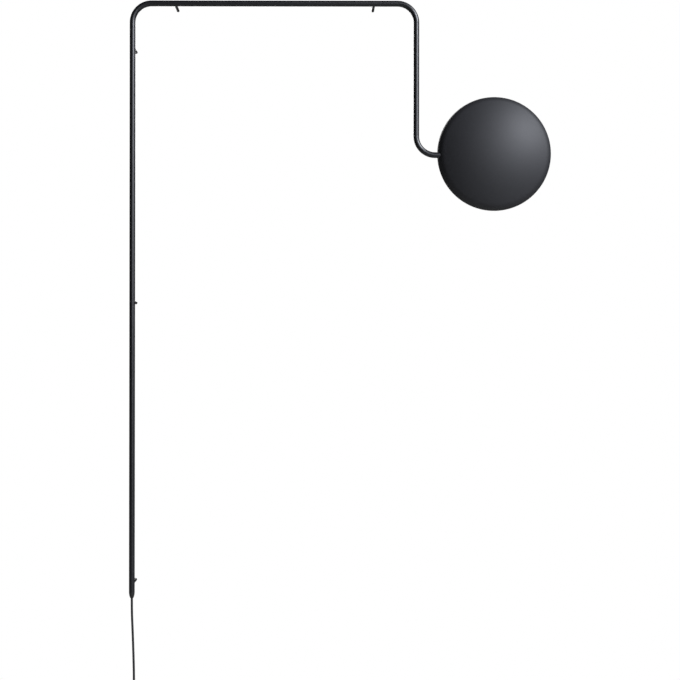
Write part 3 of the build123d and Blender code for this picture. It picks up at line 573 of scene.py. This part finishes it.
def makeTube():
    letGo()
    half, bend, wallY = tubeSet["span"] / 2, tubeSet["bend"], -tubeSet["fromWall"]
    foot, arm = -tubeSet["upright"], -tubeSet["drop"]
    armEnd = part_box("rail_tube")[1].x / mm
    start, radius = Vector((-half, wallY, foot)) * mm, tubeSet["diameter"] / 2 * mm
    bpy.ops.mesh.primitive_circle_add(vertices=tubeSet["sides"], radius=radius, location=start)
    tube = bpy.context.object
    tube.name = "railTube"
    bpy.ops.object.mode_set(mode="EDIT")
    bpy.ops.mesh.select_all(action="SELECT")
    quarter, steps = math.pi / 2, tubeSet["bendSteps"]
    runs = [
        ((0, 0, -bend - foot), (-half + bend, wallY, -bend), quarter),
        ((2 * (half - bend), 0, 0), (half - bend, wallY, -bend), quarter),
        ((0, 0, arm + 2 * bend), (half + bend, wallY, arm + bend), -quarter),
    ]
    for run, centre, angle in runs:
        bpy.ops.mesh.extrude_region_move(TRANSFORM_OT_translate={"value": Vector(run) * mm})
        bpy.ops.mesh.spin(steps=steps, angle=angle, center=Vector(centre) * mm, axis=(0, -1, 0))
    lastRun = ((armEnd - half - bend) * mm, 0, 0)
    bpy.ops.mesh.extrude_region_move(TRANSFORM_OT_translate={"value": lastRun})
    tidyMesh(tube)
    applyModifier(tube, "SOLIDIFY", thickness=tubeSet["wall"] * mm, offset=-1)
    smoothOff(tube)
    return tube


railTube = makeTube()
dress(railTube, tubeCoat, "wall_frame", ["rail_tube"])
print("tube bent")


# Standoff pegs: turned rod with a blind bore for the wall stud and a grub hole underneath
pegSet = {
    "diameter": 8.0, "chamfer": 0.5, "bore": 4.2, "boreDepth": 30.0, "boreChamfer": 0.4,
    "reach": 53.7,  # ends within the thickness of the tube's back wall
    "grubHole": 2.54, "grubFromWall": 8.0, "sides": 40, "grubSides": 24,
    "names": {
        "standoff_rail_left": "standoffRailLeft", "standoff_rail_right": "standoffRailRight",
        "standoff_upright_top": "standoffUprightTop", "standoff_upright_middle": "standoffUprightMiddle",
        "standoff_upright_bottom": "standoffUprightBottom", "standoff_drop_arm": "standoffDropArm",
    },
}


def makePeg(name, spot):
    radius, chamfer = pegSet["diameter"] / 2, pegSet["chamfer"]
    bore, lip = pegSet["bore"] / 2, pegSet["boreChamfer"]
    rings = [(bore, -pegSet["boreDepth"]), (bore, -lip), (bore + lip, 0)]
    rings += [(radius - chamfer, 0), (radius, -chamfer), (radius, -pegSet["reach"])]
    peg = turnPiece(name, rings, (spot.x, 0, spot.z), "Y", pegSet["sides"])
    hole = (spot.x, -pegSet["grubFromWall"], spot.z)
    ends = (-radius - past, -bore / 2)
    cutAway(peg, rod("drill", pegSet["grubHole"], ends, hole, "Z", pegSet["grubSides"]))
    return peg


firstNode, *otherNodes = pegSet["names"]
pegs = {firstNode: makePeg(pegSet["names"][firstNode], middle(firstNode))}
for node in otherNodes:
    step = middle(node) - middle(firstNode)
    pegs[node] = copyPiece(pegs[firstNode], pegSet["names"][node], Vector((step.x, 0, step.z)) * mm)
for node, peg in pegs.items():
    dress(peg, tubeCoat, "wall_frame", [node])
print(len(pegs), "standoff pegs turned")


# Gland: spigot in the foot of the tube, bullet nose below it, bored for the cord
glandSet = {
    "bore": 6.2, "spigot": 11.9, "spigotLength": 15.0, "noseLength": 16.0, "tip": 8.2, "edge": 0.3,
    "flankSteps": 14, "sides": 64,
}


def makeGland():
    bore, spigot, tip = glandSet["bore"] / 2, glandSet["spigot"] / 2, glandSet["tip"] / 2
    top, nose, edge = glandSet["spigotLength"], glandSet["noseLength"], glandSet["edge"]
    shoulder = tubeSet["diameter"] / 2
    drop = shoulder - tip
    bulge = (drop ** 2 + nose ** 2) / (2 * drop)
    startDeg = -math.degrees(math.asin(nose / bulge))
    flank = arcPoints((shoulder - bulge, 0), bulge, startDeg, 0, glandSet["flankSteps"])
    rings = [(bore, top), (bore, edge - nose), (bore + edge, -nose), (tip - edge, -nose)] + flank[1:-1]
    rings += [(shoulder, -edge), (shoulder - edge, 0), (spigot, 0), (spigot, top), (bore, top)]
    x, y, z = cordSet["exit"]
    return turnPiece("cordGland", rings, (x, y, z + nose), "Z", glandSet["sides"], fill=False)


cordGland = makeGland()
dress(cordGland, nylon, "wall_frame", ["cord_gland"])
print("gland turned")


# Domed shade: shallow cap, round shoulder, rolled rim, and a hole in its side for the arm
shadeSet = {
    "diameter": 300.0, "depth": 60.0, "shoulder": 30.0, "wall": 1.5, "bead": 4.0,
    "centre": (579.0, -48.0, -393.0), "armHole": 15.8, "sides": 160, "holeSides": 48,
    "sawLead": 5.0,  # how far outside the rim the hole saw starts
    "poleDeg": 89.8,  # the cap stops just short of its pole and is filled there
    "lipDeg": 8.0,  # the inner skin ends this far round the shoulder, in the bead
    "capSteps": 30, "shoulderSteps": 16, "innerSteps": 14, "beadSteps": 8,
}


def capSphere():
    # radius of the cap, and how far its middle lies behind the rim
    radius, depth, shoulder = shadeSet["diameter"] / 2, shadeSet["depth"], shadeSet["shoulder"]
    cap = (radius ** 2 + depth ** 2 - 2 * radius * shoulder) / (2 * (depth - shoulder))
    return cap, cap - depth


def shadeProfile():
    radius, shoulder, wall = shadeSet["diameter"] / 2, shadeSet["shoulder"], shadeSet["wall"]
    cap, capY = capSphere()
    pole, turn = shadeSet["poleDeg"], math.degrees(math.acos((radius - shoulder) / (cap - shoulder)))
    bend, bead = (radius - shoulder, 0), shadeSet["bead"] / 2
    outer = arcPoints((0, capY), cap, -pole, -turn, shadeSet["capSteps"])
    outer += arcPoints(bend, shoulder, -turn, 0, shadeSet["shoulderSteps"])[1:-1]
    lip = arcPoints((radius - bead, -bead), bead, 0, 180, shadeSet["beadSteps"])[1:]
    inner = arcPoints(bend, shoulder - wall, -shadeSet["lipDeg"], -turn, shadeSet["innerSteps"])
    inner += arcPoints((0, capY), cap - wall, -turn, -pole, shadeSet["capSteps"])[1:]
    return outer + lip + inner


def makeShade():
    dome = turnPiece("shadeDome", shadeProfile(), shadeSet["centre"], "Y", shadeSet["sides"])
    armPlace = (0, -tubeSet["fromWall"], -tubeSet["drop"])
    rimX = shadeSet["centre"][0] - shadeSet["diameter"] / 2
    ends = (rimX - shadeSet["sawLead"], rimX + shadeSet["shoulder"])
    cutAway(dome, rod("holeSaw", shadeSet["armHole"], ends, armPlace, "X", shadeSet["holeSides"]))
    return dome


shadeDome = makeShade()
dress(shadeDome, shadeCoat, "shade", ["shade_dome"])
print("shade turned")


# Weld studs that hold the shade to its bracket, with a ridge for each turn of the thread
studSet = {
    "diameter": 4.0, "pitch": 0.7, "depth": 0.4, "flank": 0.44,  # share of a turn that each flank takes
    "foot": 2.0, "intoDome": 0.5, "sides": 32,
}


def makeStud(name, upper):
    low, high = (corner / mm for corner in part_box("shade_studs"))
    crest, pitch, flank = studSet["diameter"] / 2, studSet["pitch"], studSet["flank"]
    root = crest - studSet["depth"]
    x, z = (low.x + high.x) / 2, high.z - crest if upper else low.z + crest
    domeX, rimY, domeZ = shadeSet["centre"]
    fromAxis = math.hypot(x - domeX, z - domeZ)
    cap, capY = capSphere()
    skinY = rimY + capY - math.sqrt((cap - shadeSet["wall"]) ** 2 - fromAxis ** 2)
    end, front = high.y, skinY - studSet["intoDome"]
    turns = int((end - front - studSet["foot"]) / pitch)
    rings = []
    for turn in range(turns):
        place = end - turn * pitch
        rings += [(root, place), (crest, place - pitch * flank), (crest, place - pitch * (1 - flank))]
    lastRoot = end - turns * pitch
    rings += [(root, lastRoot), (crest, lastRoot - studSet["depth"]), (crest, front)]
    return turnPiece(name, rings, (x, 0, z), "Y", studSet["sides"])


for name, upper in (("shadeStudUpper", True), ("shadeStudLower", False)):
    dress(makeStud(name, upper), zinc, "shade", ["shade_studs"])
print("studs threaded")


# Moulded plug: ribbed strain relief, body that widens to its face, a thumb dent on each side
plugSet = {
    "reliefLength": 20.0, "reliefTop": 8.0, "reliefFoot": 11.0, "reliefSink": 1.5, "reliefSides": 48,
    "ribs": 5, "ribShare": 0.62, "ribEdge": 0.25, "groove": 0.8, "cordBore": 6.1, "cordDepth": 6.5,
    "neck": (16.0, 12.0), "face": (34.0, 13.6), "taper": 26.0, "foot": 8.0,
    "corner": 5.4, "cornerSteps": 6, "edge": 0.8, "edgeSteps": 3, "dentInset": 2.4, "dent": 0.6,
    "topSlope": 0.9, "sideSlope": 0.995,  # how straight up, or to the side, a chosen face looks
    "pinHole": 4.04, "pinSpan": 18.6, "pinRoot": 6.0, "pinSides": 32,
}


def makePlugBody(x, y, neckZ):
    shoulderZ = neckZ - plugSet["taper"]
    faceZ = shoulderZ - plugSet["foot"]
    (faceW, faceT), (neckW, neckT) = plugSet["face"], plugSet["neck"]
    body = block("plugBody", (x - faceW / 2, y - faceT / 2, faceZ), (x + faceW / 2, y + faceT / 2, shoulderZ))
    chooseFaces(body, lambda centre, normal: normal.z > plugSet["topSlope"])
    bpy.ops.mesh.extrude_region_move(TRANSFORM_OT_translate={"value": (0, 0, plugSet["taper"] * mm)})
    shrink = (neckW / faceW, neckT / faceT, 1)
    bpy.ops.transform.resize(value=shrink, center_override=Vector((x, y, neckZ)) * mm)
    bevelEdges(body, plugSet["corner"], plugSet["cornerSteps"], runsAlong("z"))
    chooseFaces(body, lambda centre, normal: abs(normal.y) > plugSet["sideSlope"] and centre.z > shoulderZ)
    inset, dent = plugSet["dentInset"] * mm, plugSet["dent"] * mm
    bpy.ops.mesh.inset(thickness=inset, depth=-dent, use_individual=True)
    bevelEdges(body, plugSet["edge"], plugSet["edgeSteps"], liesAt("z", neckZ, faceZ))
    tidyMesh(body)
    return body


def reliefRings():
    length, edge, groove = plugSet["reliefLength"], plugSet["ribEdge"], plugSet["groove"]
    pitch = length / plugSet["ribs"]
    bore, high, low = plugSet["cordBore"] / 2, plugSet["reliefTop"] / 2, plugSet["reliefFoot"] / 2
    rings = [(bore, -plugSet["cordDepth"]), (bore, 0)]
    for rib in range(plugSet["ribs"]):
        start, end = rib * pitch, (rib + plugSet["ribShare"]) * pitch
        crest = [(start, edge), (start + edge, 0), (end, 0)]
        valley = [(end + edge, groove), (start + pitch - edge, groove)]
        rings += [(high + (low - high) * down / length - dip, -down) for down, dip in crest + valley]
    rings.append((low - groove, -length - plugSet["reliefSink"]))
    return rings


def makePlug():
    spot, top = middle("plug_body"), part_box("plug_body")[1].z / mm
    neckZ = top - plugSet["reliefLength"]
    faceZ = neckZ - plugSet["taper"] - plugSet["foot"]
    body = makePlugBody(spot.x, spot.y, neckZ)
    reliefPlace = (spot.x, spot.y, top)
    growTogether(body, turnPiece("relief", reliefRings(), reliefPlace, "Z", plugSet["reliefSides"]))
    ends = (faceZ - 2 * past, faceZ + plugSet["pinRoot"])
    for side in (1, -1):
        place = (spot.x + side * plugSet["pinSpan"] / 2, spot.y, 0)
        cutAway(body, rod("drill", plugSet["pinHole"], ends, place, "Z", plugSet["pinSides"]))
    return body


plugBody = makePlug()
dress(plugBody, nylon, "wall_frame", ["plug_body"])
print("plug moulded")


# In-line switch: front shell with a seam groove, a window, screw posts and ears for the pin
switchSet = {
    "pivot": (-367.2, -65.0, -1819.0), "wall": 2.0, "corner": 7.0, "cornerSteps": 8, "hollowSteps": 6,
    "edge": 2.5, "edgeSteps": 5, "seam": 0.4, "cordHole": 6.2, "sideGap": 0.4, "swingGap": 1.2, "sides": 32,
    "post": 5.4, "postSpots": [(-8.4, 21.0), (8.4, -21.0)],
    "pilot": 2.44, "pilotDepth": 6.0, "pilotSides": 24,
    "sink": 0.5,  # how deep a post or an ear is rooted in the front wall
    "earIn": 6.1, "earOut": 7.4, "earHalf": 3.5, "earRound": 3.4, "earSteps": 8, "earHole": 2.54,
}

# Rocker: dished top with grip ribs at its lower end, and two lugs on the pin
rockerSet = {
    "width": 11.2, "length": 22.8, "top": 7.2, "under": 1.5, "dip": 1.6, "tiltDeg": 8.0, "dishSides": 240,
    "edge": 0.4, "edgeSteps": 3, "edgeAngle": 40.0,
    "ribs": (-9.2, -7.6, -6.0), "ribRadius": 0.5, "ribSink": 0.15, "ribHalf": 3.6, "ribSides": 16,
    "lug": 6.0, "lugIn": 3.4, "lugOut": 5.4, "lugSides": 48, "lugHole": 2.6, "holeSides": 32,
}


def makeHollow(low, high, split):
    # the space inside the front shell, round its posts and ears
    wall, sides, (x, y, z) = switchSet["wall"], switchSet["sides"], switchSet["pivot"]
    hollow = block("hollow", low + Vector((wall, wall, wall)), (high.x - wall, split + past, high.z - wall))
    bevelEdges(hollow, switchSet["corner"] - wall, switchSet["hollowSteps"], runsAlong("y"))
    root = low.y + wall - switchSet["sink"]
    for aside, along in switchSet["postSpots"]:
        place = (x + aside, 0, z + along)
        cutAway(hollow, rod("post", switchSet["post"], (root, split + 2 * past), place, "Y", sides))
    inner, outer, half = switchSet["earIn"], switchSet["earOut"], switchSet["earHalf"]
    for left, right in ((-outer, -inner), (inner, outer)):
        ear = block("ear", (x + left, root, z - half), (x + right, y + half, z + half))
        rounded = (runsAlong("x"), liesAt("y", y + half))
        bevelEdges(ear, switchSet["earRound"], switchSet["earSteps"], *rounded)
        cutAway(hollow, ear)
    return hollow


def makeSwitchFront():
    low, high = (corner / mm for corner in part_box("switch_front"))
    wall, sides, (x, y, z) = switchSet["wall"], switchSet["sides"], switchSet["pivot"]
    split = cordSet["exit"][1]
    shell = block("switchFront", low, (high.x, split, high.z))
    bevelEdges(shell, switchSet["corner"], switchSet["cornerSteps"], runsAlong("y"))
    bevelEdges(shell, switchSet["edge"], switchSet["edgeSteps"], liesAt("y", low.y))
    bevelEdges(shell, switchSet["seam"], 1, liesAt("y", split))
    cutAway(shell, makeHollow(low, high, split))
    halfW = rockerSet["width"] / 2 + switchSet["sideGap"]
    halfH = rockerSet["length"] / 2 + switchSet["swingGap"]
    windowLow = (x - halfW, low.y - past, z - halfH)
    cutAway(shell, block("window", windowLow, (x + halfW, low.y + wall + past, z + halfH)))
    ends = (low.z - past, high.z + past)
    cutAway(shell, rod("drill", switchSet["cordHole"], ends, (x, split, 0), "Z", sides))
    ends = (split - switchSet["pilotDepth"], split + past)
    for aside, along in switchSet["postSpots"]:
        place = (x + aside, 0, z + along)
        cutAway(shell, rod("drill", switchSet["pilot"], ends, place, "Y", switchSet["pilotSides"]))
    reach = switchSet["earOut"] + past
    cutAway(shell, rod("drill", switchSet["earHole"], (-reach, reach), (x, y, z), "X", sides))
    applyModifier(shell, "WEIGHTED_NORMAL", keep_sharp=True)  # keeps the flat front evenly shaded
    return shell


def makeRocker():
    x, y, z = switchSet["pivot"]
    halfW, halfH = rockerSet["width"] / 2, rockerSet["length"] / 2
    top, dip, reach = rockerSet["top"], rockerSet["dip"], halfW + past
    rockerHigh = (x + halfW, y - rockerSet["under"], z + halfH)
    rocker = block("switchRocker", (x - halfW, y - top, z - halfH), rockerHigh)
    dish = (halfH ** 2 + dip ** 2) / (2 * dip)
    dishY = y - top + dip - dish
    cutAway(rocker, rod("roller", 2 * dish, (-reach, reach), (x, dishY, z), "X", rockerSet["dishSides"]))
    applyModifier(
        rocker, "BEVEL", width=rockerSet["edge"] * mm, segments=rockerSet["edgeSteps"],
        limit_method="ANGLE", angle_limit=math.radians(rockerSet["edgeAngle"]),
    )
    radius, half = rockerSet["ribRadius"], rockerSet["ribHalf"]
    tip = radius / 2
    ribRings = [(tip, -half), (radius, tip - half), (radius, half - tip), (tip, half)]
    for place in rockerSet["ribs"]:
        ribY = dishY + math.sqrt(dish ** 2 - place ** 2) + rockerSet["ribSink"]
        growTogether(rocker, turnPiece("rib", ribRings, (x, ribY, z + place), "X", rockerSet["ribSides"]))
    inner, outer = rockerSet["lugIn"], rockerSet["lugOut"]
    for ends in ((-outer, -inner), (inner, outer)):
        growTogether(rocker, rod("lug", rockerSet["lug"], ends, (x, y, z), "X", rockerSet["lugSides"]))
    drill = rod("drill", rockerSet["lugHole"], (-reach, reach), (x, y, z), "X", rockerSet["holeSides"])
    cutAway(rocker, drill)
    pivot = Vector(switchSet["pivot"]) * mm
    tilt = Matrix.Rotation(math.radians(rockerSet["tiltDeg"]), 4, "X")
    rocker.matrix_world = Matrix.Translation(pivot) @ tilt @ Matrix.Translation(-pivot)
    tidyMesh(rocker)
    return rocker


switchFront, switchRocker = makeSwitchFront(), makeRocker()
dress(switchFront, nylon, "wall_frame", ["switch_front"])
dress(switchRocker, nylon, "switch_rocker", ["switch_rocker"])
print("switch moulded")


# Strap that ties the coil: a loop round the bundle with its end pressed down in front
strapSet = {
    "width": 8.0, "thick": 1.2, "corner": 3.0, "cornerSteps": 6,
    "tab": (7.4, 0.9, 13.0), "tabSink": 0.4,
    "tabCorner": 2.0, "tabCornerSteps": 4, "tabEdge": 0.35, "tabEdgeSteps": 2,
}


def makeStrap():
    low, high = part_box("coil_tie")
    spot, thick = (low + high) / 2, strapSet["thick"] * mm
    letGo()
    bpy.ops.mesh.primitive_plane_add(size=1, location=spot, rotation=(0, math.pi / 2, 0))
    strap = bpy.context.object
    strap.name = "coilStrap"
    strap.scale = (high.z - low.z - 2 * thick, high.y - low.y - 2 * thick, 1)
    bpy.ops.object.transform_apply(location=True, rotation=True, scale=True)
    bpy.ops.object.mode_set(mode="EDIT")
    bpy.ops.mesh.select_all(action="SELECT")
    bpy.ops.mesh.bevel(offset=strapSet["corner"] * mm, segments=strapSet["cornerSteps"], affect="VERTICES")
    bpy.ops.mesh.select_all(action="SELECT")
    bpy.ops.mesh.delete(type="ONLY_FACE")
    bpy.ops.mesh.select_all(action="SELECT")
    bpy.ops.transform.translate(value=(-strapSet["width"] / 2 * mm, 0, 0))
    bpy.ops.mesh.extrude_region_move(TRANSFORM_OT_translate={"value": (strapSet["width"] * mm, 0, 0)})
    tidyMesh(strap)
    applyModifier(strap, "SOLIDIFY", thickness=thick, offset=1)
    smoothOff(strap)
    tabWidth, tabThick, tabLength = strapSet["tab"]
    x, z, back = spot.x / mm, spot.z / mm, low.y / mm + strapSet["tabSink"]
    front = low.y / mm - tabThick
    tabLow = (x - tabWidth / 2, front, z - tabLength / 2)
    tab = block("tab", tabLow, (x + tabWidth / 2, back, z + tabLength / 2))
    bevelEdges(tab, strapSet["tabCorner"], strapSet["tabCornerSteps"], runsAlong("y"))
    bevelEdges(tab, strapSet["tabEdge"], strapSet["tabEdgeSteps"], liesAt("y", front))
    growTogether(strap, tab)
    return strap


coilStrap = makeStrap()
dress(coilStrap, strapWeave, "wall_frame", ["coil_tie"])
print("strap tied")


# Camera level with the middle of the lamp, shifted as the photograph is framed
cameraSet = {"place": (0.1126, -2.930, -0.9415), "lens": 57.8, "shift": (0.034, 0.032), "rollDeg": -0.08}
scene = bpy.context.scene
cameraData = bpy.data.cameras.new("camera")
cameraData.lens = cameraSet["lens"]
cameraData.shift_x, cameraData.shift_y = cameraSet["shift"]
camera = bpy.data.objects.new("camera", cameraData)
camera.location = cameraSet["place"]
camera.rotation_euler = (math.pi / 2, math.radians(cameraSet["rollDeg"]), 0)
scene.collection.objects.link(camera)
scene.camera = camera

# White surroundings for the camera; the lamp itself sees a dim room with a pale wall behind and floor below
worldSet = {"room": 0.03, "wall": 0.12, "ground": 0.28}


def makeWorld():
    world = bpy.data.worlds.new("studio")
    world.use_nodes = True
    sky = world.node_tree
    sky.nodes.clear()
    rays = addNode(sky, "ShaderNodeLightPath").outputs
    view = addNode(sky, "ShaderNodeTexCoord").outputs["Generated"]
    way = addNode(sky, "ShaderNodeSeparateXYZ", {"Vector": view}).outputs
    wall = addNode(sky, "ShaderNodeMapRange", {
        "Value": way["Y"], "To Min": worldSet["room"], "To Max": worldSet["wall"],
    }, interpolation_type="SMOOTHSTEP").outputs["Result"]
    ground = addNode(sky, "ShaderNodeMapRange", {
        "Value": way["Z"], "From Min": 0.0, "From Max": -1.0, "To Min": 0.0, "To Max": worldSet["ground"],
    }, interpolation_type="SMOOTHSTEP").outputs["Result"]
    room = addNode(sky, "ShaderNodeMath", {0: wall, 1: ground}, operation="ADD").outputs["Value"]
    eyes = {0: rays["Is Camera Ray"], 1: rays["Is Transmission Ray"]}
    seen = addNode(sky, "ShaderNodeMath", eyes, operation="MAXIMUM").outputs["Value"]
    strength = addNode(sky, "ShaderNodeMapRange", {"Value": seen, "To Min": room, "To Max": 1.0})
    shine = {"Color": (1, 1, 1, 1), "Strength": strength.outputs["Result"]}
    glow = addNode(sky, "ShaderNodeBackground", shine)
    addNode(sky, "ShaderNodeOutputWorld", {"Surface": glow.outputs["Background"]})
    return world


scene.world = makeWorld()
scene.view_settings.view_transform = "Standard"

# Key light high on the right, a weak one lower and further round,
# a broad soft one in front, one for the wall side
lightSet = {
    "key": {"place": (4.85, -3.88, 3.21), "size": 2.4, "power": 755.0, "colour": "#f1f5ff"},
    "side": {"place": (6.89, -2.20, 0.47), "size": 2.4, "power": 40.0, "colour": "#f1f5ff"},
    "front": {"place": (3.21, -6.31, 1.10), "size": 5.0, "power": 240.0, "colour": "#f1f5ff"},
    "back": {"place": (-0.6, 4.0, 1.2), "size": 2.4, "power": 90.0, "colour": "#ffffff"},
}
lightAim = Vector((0.3, -0.06, -0.5))
for name, look in lightSet.items():
    lightData = bpy.data.lights.new(name, "AREA")
    lightData.shape = "DISK"
    lightData.size = look["size"]
    lightData.energy = look["power"]
    lightData.color = linear(look["colour"])[:3]
    light = bpy.data.objects.new(name, lightData)
    light.location = look["place"]
    light.rotation_euler = (lightAim - Vector(look["place"])).to_track_quat("-Z", "Y").to_euler()
    scene.collection.objects.link(light)

# Pale floor under the lamp, clear of the picture's lower edge
floorSet = {
    "low": (-2.4, -3.0), "high": (2.6, 0.7), "under": 0.02, "colour": "#a4a4a2", "rough": 0.9,
    "lift": 1.4,  # glow that only the camera sees
}


def makeFloor():
    letGo()
    low, high = Vector(floorSet["low"]), Vector(floorSet["high"])
    spot = (*((low + high) / 2), cadBox[0].z - floorSet["under"])
    bpy.ops.mesh.primitive_plane_add(size=1, location=spot)
    plane = bpy.context.object
    plane.name = "floor"
    plane.scale = (*(high - low), 1)
    bpy.ops.object.transform_apply(location=True, rotation=True, scale=True)
    paint, tree = startMaterial("palePaintedFloor")
    seen = addNode(tree, "ShaderNodeLightPath").outputs["Is Camera Ray"]
    lift = addNode(tree, "ShaderNodeMath", {0: seen, 1: floorSet["lift"]}, operation="MULTIPLY")
    colour = linear(floorSet["colour"])
    endMaterial(tree, {
        "Base Color": colour, "Roughness": floorSet["rough"], "Emission Color": colour,
        "Emission Strength": lift.outputs["Value"],
    })
    plane.data.materials.append(paint)
    return plane


makeFloor()
print("camera, lights and floor set")

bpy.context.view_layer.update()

cordNodes = ("plug_pins", "switch_back", "rocker_pin", "switch_screws", "switch_terminals")
onCord = [plugBody, coilStrap, switchFront, switchRocker]
onCord += [nodes[name] for name in cordNodes]
